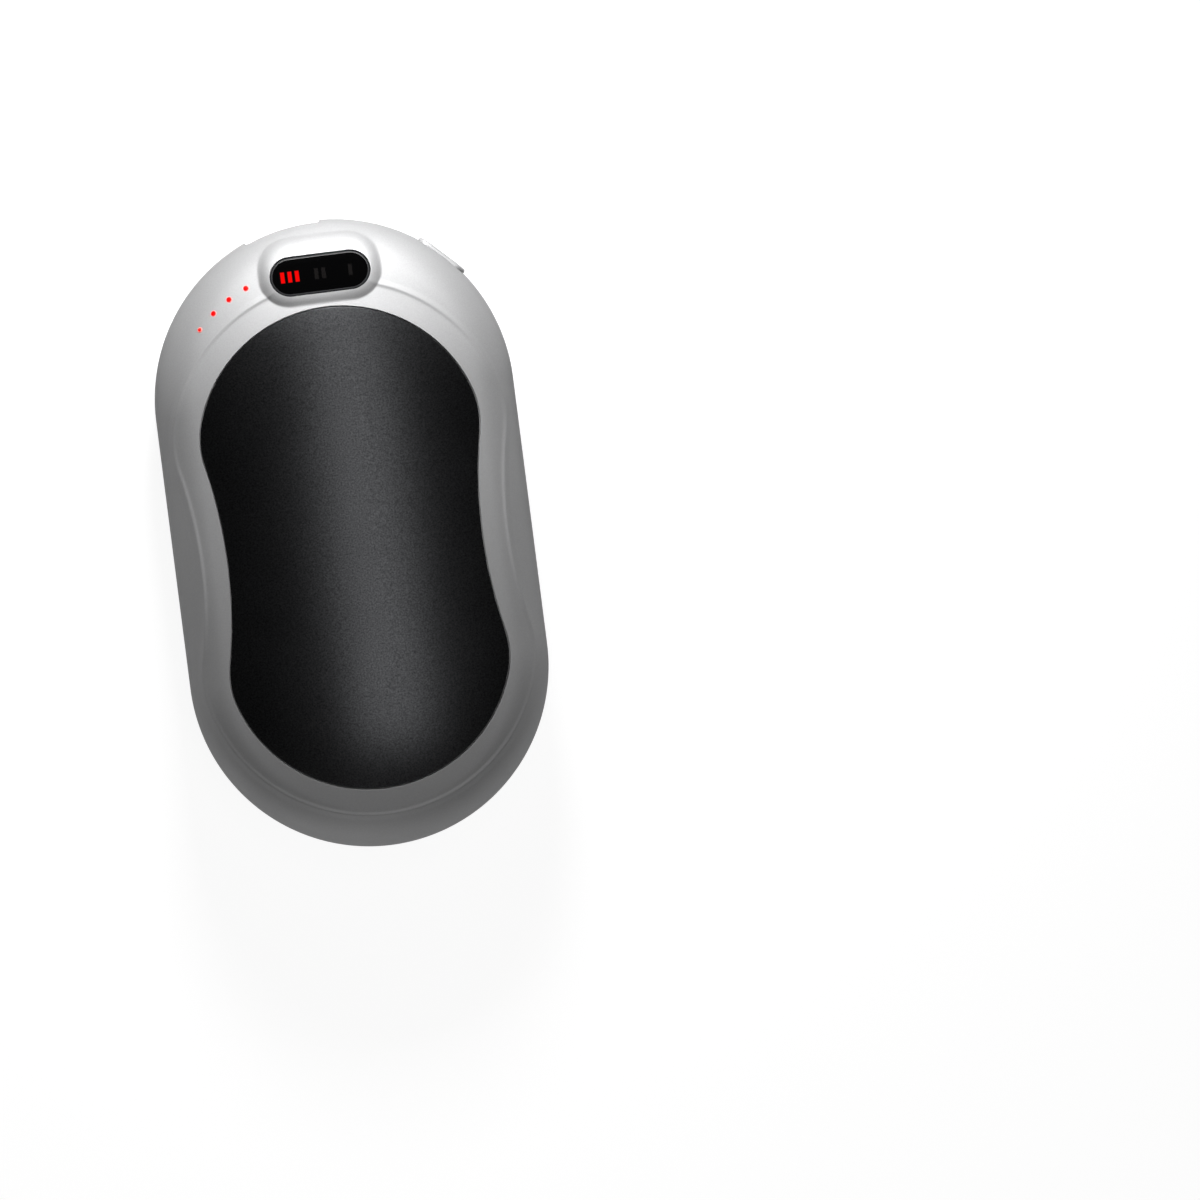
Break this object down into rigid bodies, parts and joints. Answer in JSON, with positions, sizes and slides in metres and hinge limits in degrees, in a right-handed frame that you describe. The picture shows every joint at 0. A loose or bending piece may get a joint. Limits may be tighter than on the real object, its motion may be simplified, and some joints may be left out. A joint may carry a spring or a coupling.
{
  "type": "rechargeable hand warmer",
  "caption": "Pocket hand warmer: pebble-shaped silver shells, waisted black heating plates front and back, lit level display, charge lights, side button, end sockets.",
  "frame": {"origin": "middle of the body's outline, on the surface that the back's flat land rests on", "axes": "+Z out of the front heating plate, +Y towards the display end, +X to the right in front view"},
  "size_m": [0.064, 0.112, 0.0259],
  "materials": {
    "shell": "satin silver-white moulded plastic",
    "plate": "black anodised, bead-blasted",
    "tape": "black foam adhesive",
    "film": "amber polyimide film",
    "track": "etched foil",
    "pad": "glass-fibre felt",
    "heater_lead": "silicone-covered wire",
    "sensor": "dark glass bead",
    "tray": "glass-filled nylon",
    "cell": "shrink sleeve over a steel can",
    "ring": "fibre paper",
    "strip": "nickel-plated strip",
    "foam": "closed-cell foam",
    "red_lead": "silicone-covered wire",
    "black_lead": "silicone-covered wire",
    "board": "green solder mask",
    "chip": "moulded epoxy",
    "coil": "pressed ferrite",
    "capacitor": "ceramic",
    "socket": "nickel-plated sheet steel",
    "tongue": "white nylon",
    "charge_tongue": "black nylon",
    "contact": "gold-plated",
    "switch": "black nylon",
    "plunger": "ivory nylon",
    "button": "satin silver plastic",
    "window": "polished smoke-black acrylic",
    "mask": "black printed film",
    "mark": "lit red diffuser",
    "light_box": "white light box",
    "led": "lens over phosphor",
    "light_guide": "clear acrylic lit red",
    "screw": "zinc-plated"
  },
  "bodies": {
    "body": {"front_shell": "shell", "back_shell": "shell", "front_plate": "plate", "back_plate": "plate", "front_plate_tape": "tape", "back_plate_tape": "tape", "front_heater_film": "film", "back_heater_film": "film", "front_heater_track": "track", "back_heater_track": "track", "front_heat_pad": "pad", "back_heat_pad": "pad", "front_heater_leads": "heater_lead", "back_heater_leads": "heater_lead", "heat_sensors": "sensor", "battery_tray": "tray", "cell_left": "cell", "cell_right": "cell", "cell_rings": "ring", "positive_strip": "strip", "negative_strip": "strip", "cell_pads": "foam", "battery_lead_red": "red_lead", "battery_lead_black": "black_lead", "main_board": "board", "display_board": "board", "control_chip": "chip", "power_chip": "chip", "boost_coil": "coil", "board_capacitors": "capacitor", "output_port_shell": "socket", "charge_port_shell": "socket", "output_port_tongue": "tongue", "charge_port_tongue": "charge_tongue", "output_port_contacts": "contact", "display_pins": "contact", "power_switch": "switch", "display_window": "window", "display_mask": "mask", "level_marks": "mark", "display_light_box": "light_box", "display_leds": "led", "charge_leds": "led", "charge_light_guide": "light_guide", "case_screws": "screw", "small_screws": "screw"},
    "button": {"power_button": "button", "switch_plunger": "plunger"}
  },
  "joints": [
    {"name": "button_press", "type": "slide", "parent": "body", "child": "button", "axis": [-0.6947, -0.7193, 0], "range_m": [0, 0.0005], "stiffness_N_per_m": 1200}
  ]
}
